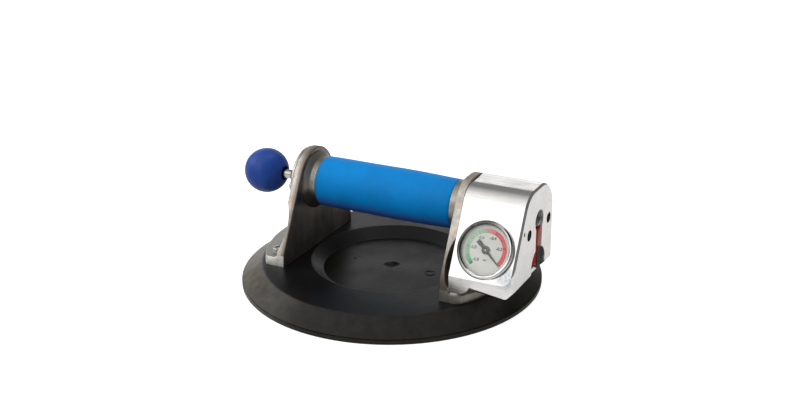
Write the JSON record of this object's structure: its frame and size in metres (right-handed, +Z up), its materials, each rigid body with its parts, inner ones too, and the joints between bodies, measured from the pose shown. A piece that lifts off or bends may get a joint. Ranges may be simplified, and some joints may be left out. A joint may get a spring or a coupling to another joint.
{
  "type": "vacuum glass lifter",
  "caption": "Hand-pumped vacuum lifter: a round rubber suction disc under a tubular grip that houses the pump, with a ball-ended rod, a slanted gauge block and a red release lever.",
  "frame": {"origin": "centre of the suction disc on its sealing face", "axes": "+X along the handle from the ball knob to the valve block, +Y to the rear of the gauge side, +Z up away from the sealing face"},
  "size_m": [0.225, 0.21, 0.0858],
  "materials": {
    "disc_rubber": "matte moulded rubber",
    "plate_steel": "raw",
    "bracket_steel": "raw rolled plate with bright cut edges",
    "weld_steel": "polished, brownish heat tint",
    "grip_rubber": "matte blue",
    "pump_tube": "drawn",
    "seal_rubber": "matte",
    "cover_steel": "zinc plated",
    "screw_zinc": "bright zinc",
    "rod_steel": "ground",
    "piston_plastic": "turned",
    "knob_plastic": "matte violet-blue",
    "brass": "turned",
    "block_aluminium": "bright milled",
    "lever_red": "satin red",
    "lever_steel": "dark",
    "pin_steel": "ground",
    "felt": "black felt",
    "spring_steel": "wire",
    "gauge_chrome": "polished",
    "gauge_glass": "clear",
    "dial_white": "off-white print ground",
    "needle_black": "matte black"
  },
  "bodies": {
    "frame": {"suction_disc": "disc_rubber", "backing_plate": "plate_steel", "left_bracket": "bracket_steel", "right_bracket": "bracket_steel", "left_weld_collar": "weld_steel", "right_weld_collar": "weld_steel", "handle_tube": "weld_steel", "grip_sleeve": "grip_rubber", "pump_cylinder": "pump_tube", "cylinder_gaskets": "seal_rubber", "end_cover": "cover_steel", "cover_gasket": "seal_rubber", "cover_screws": "screw_zinc", "foot_screws": "screw_zinc", "rod_guide": "cover_steel", "rod_seal": "seal_rubber", "rear_buffer": "seal_rubber", "valve_block": "block_aluminium", "block_screws": "lever_steel", "gauge_set_screw": "brass", "check_valve_seat": "brass", "check_valve_spring": "spring_steel", "check_valve_retainer": "brass", "lever_pin": "pin_steel", "vent_filter": "felt", "vent_seat": "brass", "vent_spring": "spring_steel", "suction_nipple": "brass", "nipple_seal": "seal_rubber", "channel_plug": "brass", "gauge_case": "lever_steel", "gauge_bezel": "gauge_chrome", "gauge_window": "gauge_glass", "gauge_dial": "dial_white", "sector_pin": "pin_steel", "bourdon_tube": "brass", "movement_plate": "brass", "gauge_socket": "brass"},
    "pump_rod_assembly": {"pump_rod": "rod_steel", "piston": "piston_plastic", "piston_cup": "seal_rubber", "piston_nut": "screw_zinc", "ball_knob": "knob_plastic", "knob_insert": "brass"},
    "release_lever": {"lever_arm": "lever_steel", "lever_pad": "lever_red"},
    "vent_valve": {"vent_stem": "brass", "vent_seal": "seal_rubber"},
    "check_ball": {"check_valve_ball": "rod_steel"},
    "gauge_sector": {"sector_gear": "brass"},
    "gauge_pointer": {"gauge_needle": "needle_black", "needle_pinion": "brass"},
    "gauge_link_bar": {"gauge_link": "brass"}
  },
  "joints": [
    {"name": "pump_stroke", "type": "slide", "parent": "frame", "child": "pump_rod_assembly", "axis": [-1, 0, 0], "range_m": [0, 0.1075]},
    {"name": "lever_press", "type": "hinge", "parent": "frame", "child": "release_lever", "pos_m": [0.1067, 0, 0.0585], "axis": [0, 1, 0], "range_deg": [0, 12], "stiffness_Nm_per_rad": 0.15, "springref_deg": -11.46},
    {"name": "vent_slide", "type": "slide", "parent": "frame", "child": "vent_valve", "axis": [-1, 0, 0], "range_m": [0, 0.0019], "deforming": ["vent_spring"]},
    {"name": "check_lift", "type": "slide", "parent": "frame", "child": "check_ball", "axis": [-1, 0, 0], "range_m": [0, 0.0012], "stiffness_N_per_m": 60, "springref_m": -0.002, "deforming": ["check_valve_spring"]},
    {"name": "sector_swing", "type": "hinge", "parent": "frame", "child": "gauge_sector", "pos_m": [0.08755, -0.04138, 0.04159], "axis": [0, -0.887, 0.4617], "range_deg": [-45, 0], "stiffness_Nm_per_rad": 0.002, "springref_deg": 2.86},
    {"name": "pointer_turn", "type": "hinge", "parent": "frame", "child": "gauge_pointer", "pos_m": [0.0867, -0.03687, 0.05025], "axis": [0, -0.887, 0.4617], "range_deg": [0, 270]},
    {"name": "link_swing", "type": "hinge", "parent": "gauge_sector", "child": "gauge_link_bar", "pos_m": [0.08894, -0.04261, 0.03923], "axis": [0, -0.887, 0.4617], "range_deg": [0, 45]}
  ],
  "couplings": [
    {"joint": "vent_slide", "follows": "lever_press", "m_per_rad": 0.0089},
    {"joint": "pointer_turn", "follows": "sector_swing", "ratio": -6},
    {"joint": "link_swing", "follows": "sector_swing", "ratio": -1}
  ]
}
